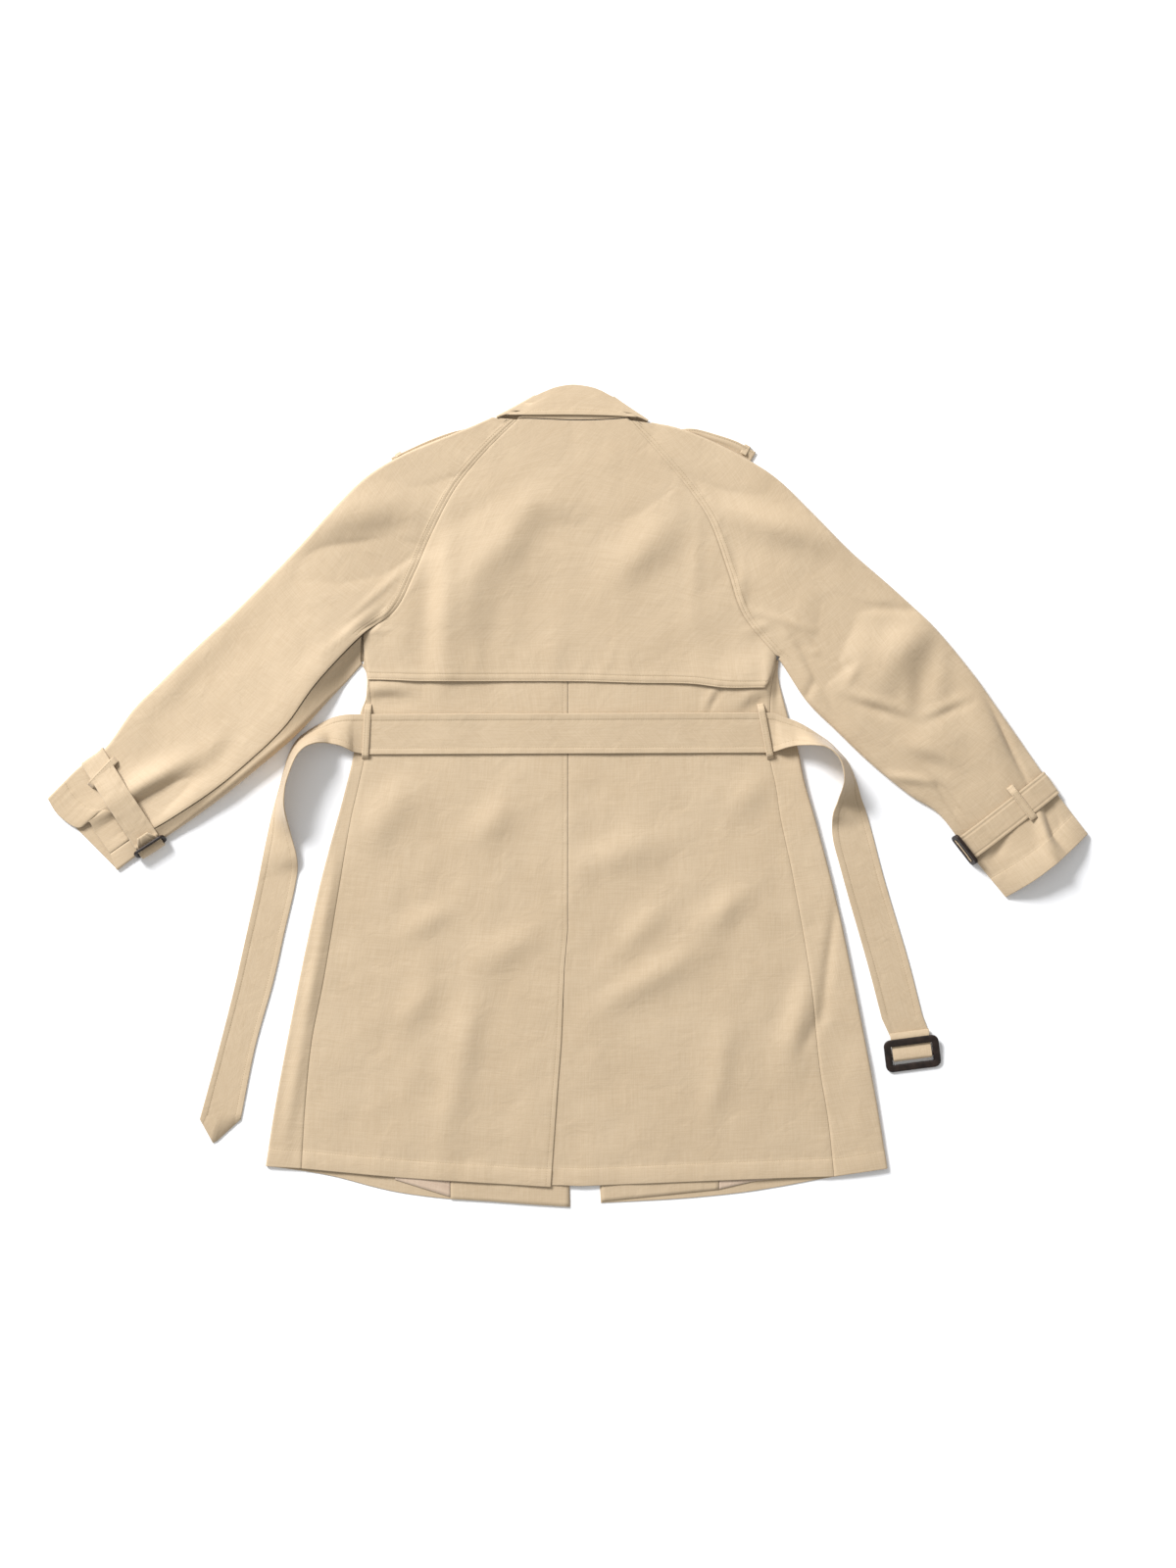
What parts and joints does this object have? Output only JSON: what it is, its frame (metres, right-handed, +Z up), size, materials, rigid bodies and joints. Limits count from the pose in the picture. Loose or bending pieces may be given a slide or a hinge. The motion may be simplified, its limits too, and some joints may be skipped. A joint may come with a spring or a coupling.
{
  "type": "trench coat",
  "caption": "Thigh-length raglan trench coat laid flat on its front, with storm shield, back vent, loose belt and strapped cuffs.",
  "frame": {"origin": "middle of the coat's bounding box, on the surface it lies on", "axes": "+X from the wearer's left sleeve to the right one, +Y from hem to collar, +Z up out of the surface, towards the coat's back"},
  "size_m": [1.2952, 1.0231, 0.0516],
  "materials": {
    "gabardine": "matt cotton gabardine, khaki",
    "lining": "soft sheen lining twill",
    "buckle": "dark brown leather-covered frame"
  },
  "bodies": {
    "root": {"back_left": "gabardine", "back_right": "gabardine", "belt": "gabardine", "belt_buckle": "buckle", "belt_loop_left": "gabardine", "belt_loop_right": "gabardine", "collar_fall": "gabardine", "collar_stand": "gabardine", "cuff_buckle_left": "buckle", "cuff_buckle_right": "buckle", "cuff_loop_left": "gabardine", "cuff_loop_right": "gabardine", "cuff_strap_left": "gabardine", "cuff_strap_right": "gabardine", "epaulette_left": "gabardine", "epaulette_loop_left": "gabardine", "epaulette_loop_right": "gabardine", "epaulette_right": "gabardine", "facing_left": "gabardine", "facing_right": "gabardine", "front_left": "gabardine", "front_right": "gabardine", "lining_left": "lining", "lining_right": "lining", "sleeve_back_left": "gabardine", "sleeve_back_right": "gabardine", "sleeve_front_left": "gabardine", "sleeve_front_right": "gabardine", "storm_shield": "gabardine"}
  },
  "joints": []
}
